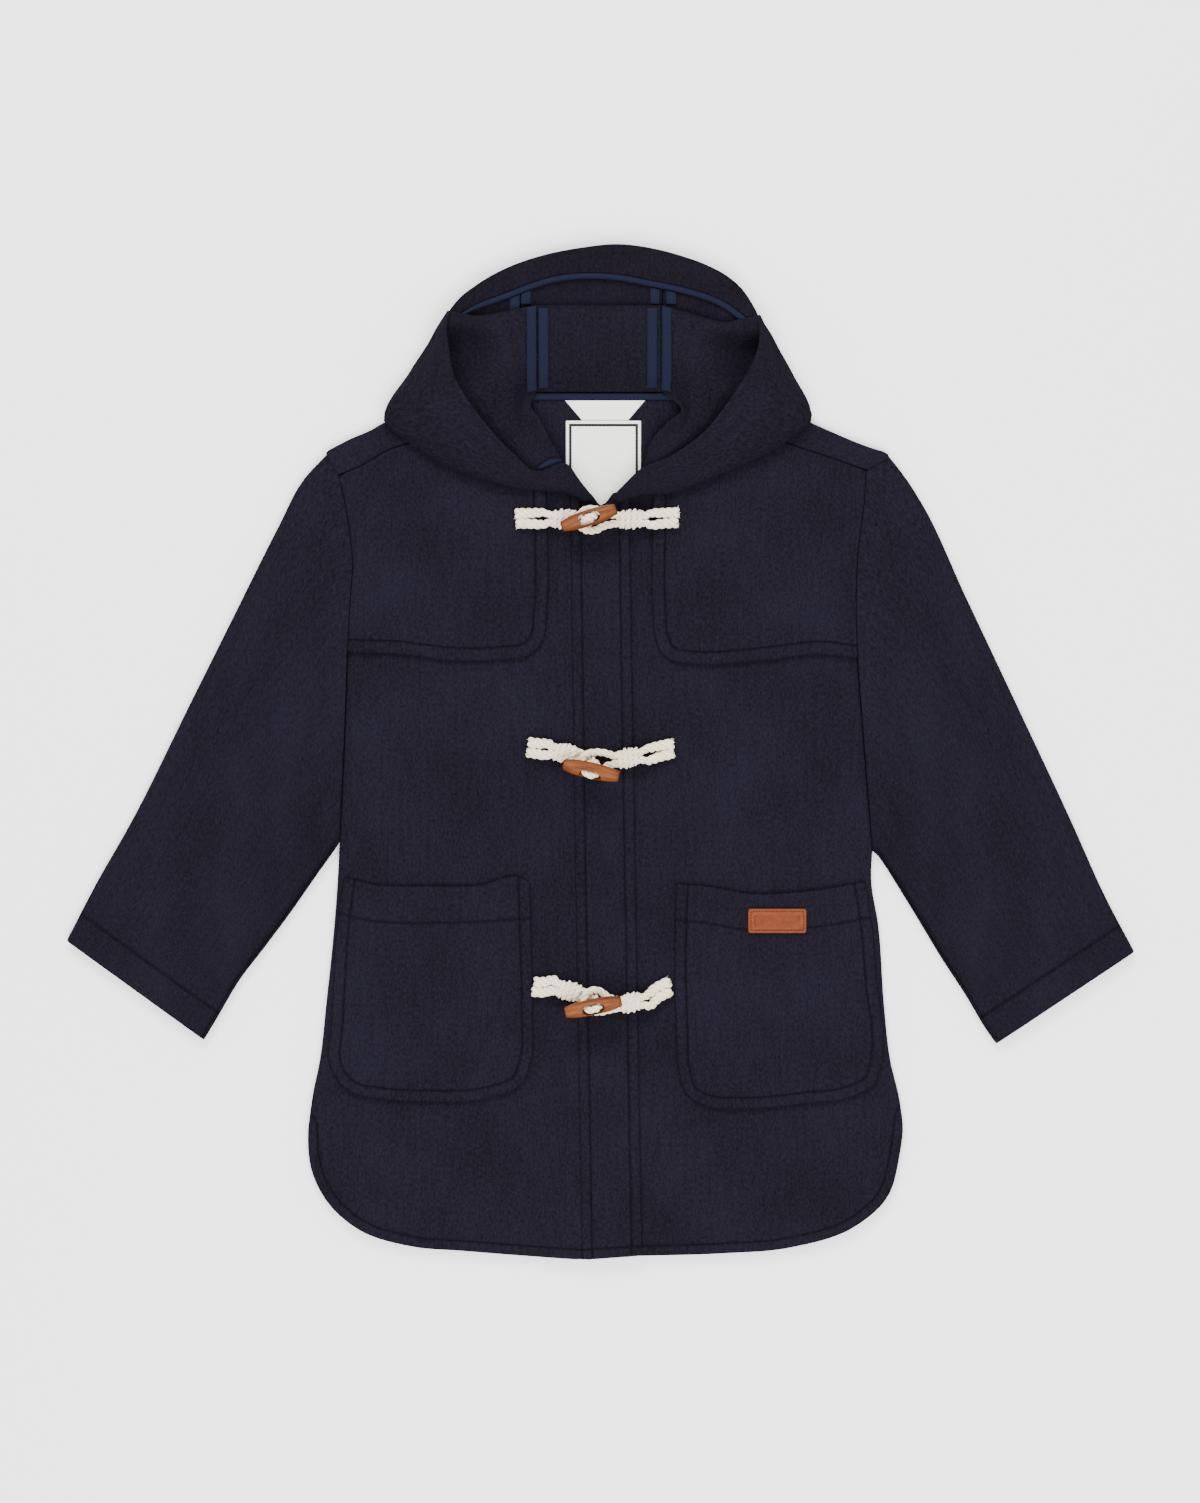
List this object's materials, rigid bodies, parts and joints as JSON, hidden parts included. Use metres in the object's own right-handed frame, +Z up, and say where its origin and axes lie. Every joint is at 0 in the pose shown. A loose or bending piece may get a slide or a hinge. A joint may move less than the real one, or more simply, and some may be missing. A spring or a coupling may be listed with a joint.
{
  "type": "hooded duffle coat",
  "caption": "Child's hooded duffle coat of felted wool, laid flat on its back, with slotted toggles on cord loops, shoulder yokes, patch pockets and a hood folded open.",
  "frame": {"origin": "on the surface the coat lies on, under the middle of its overall box", "axes": "+X towards the wearer's left sleeve, +Y from the hem towards the hood, +Z up from the surface"},
  "size_m": [0.7043, 0.6686, 0.0309],
  "materials": {
    "wool_body": "felted wool with a short nap",
    "wool_hood": "felted wool with a short nap",
    "tape": "woven cotton binding tape",
    "label": "smooth woven satin",
    "cord": "soft twisted cotton cord",
    "toggle_wood": "stained and lacquered",
    "leather": "smooth vegetable-tanned"
  },
  "bodies": {
    "root": {"back": "wool_body", "front_right": "wool_body", "front_left": "wool_body", "placket": "wool_body", "yoke_right": "wool_body", "yoke_left": "wool_body", "sleeve_right": "wool_body", "sleeve_left": "wool_body", "pocket_right": "wool_body", "pocket_left": "wool_body", "leather_tag": "leather", "hood_side_right": "wool_hood", "hood_side_left": "wool_hood", "hood_centre": "wool_hood", "hood_brim_right": "wool_hood", "hood_brim_centre": "wool_hood", "hood_brim_left": "wool_hood", "hood_crown": "wool_hood", "hood_facing": "wool_hood", "tape_facing": "tape", "tape_seam_right_outer": "tape", "tape_seam_right_inner": "tape", "tape_seam_left_inner": "tape", "tape_seam_left_outer": "tape", "tape_brim_right_outer": "tape", "tape_brim_right_inner": "tape", "tape_brim_left_inner": "tape", "tape_brim_left_outer": "tape", "tape_neck": "tape", "tape_corner": "tape", "hanger_tape": "label", "neck_label": "label", "toggle_top": "toggle_wood", "toggle_middle": "toggle_wood", "toggle_bottom": "toggle_wood", "cord_right_top": "cord", "cord_left_top": "cord", "cord_right_middle": "cord", "cord_left_middle": "cord", "cord_right_bottom": "cord", "cord_left_bottom": "cord", "knot_right_top": "cord", "knot_left_top": "cord", "knot_right_middle": "cord", "knot_left_middle": "cord", "knot_right_bottom": "cord", "knot_left_bottom": "cord"}
  },
  "joints": []
}
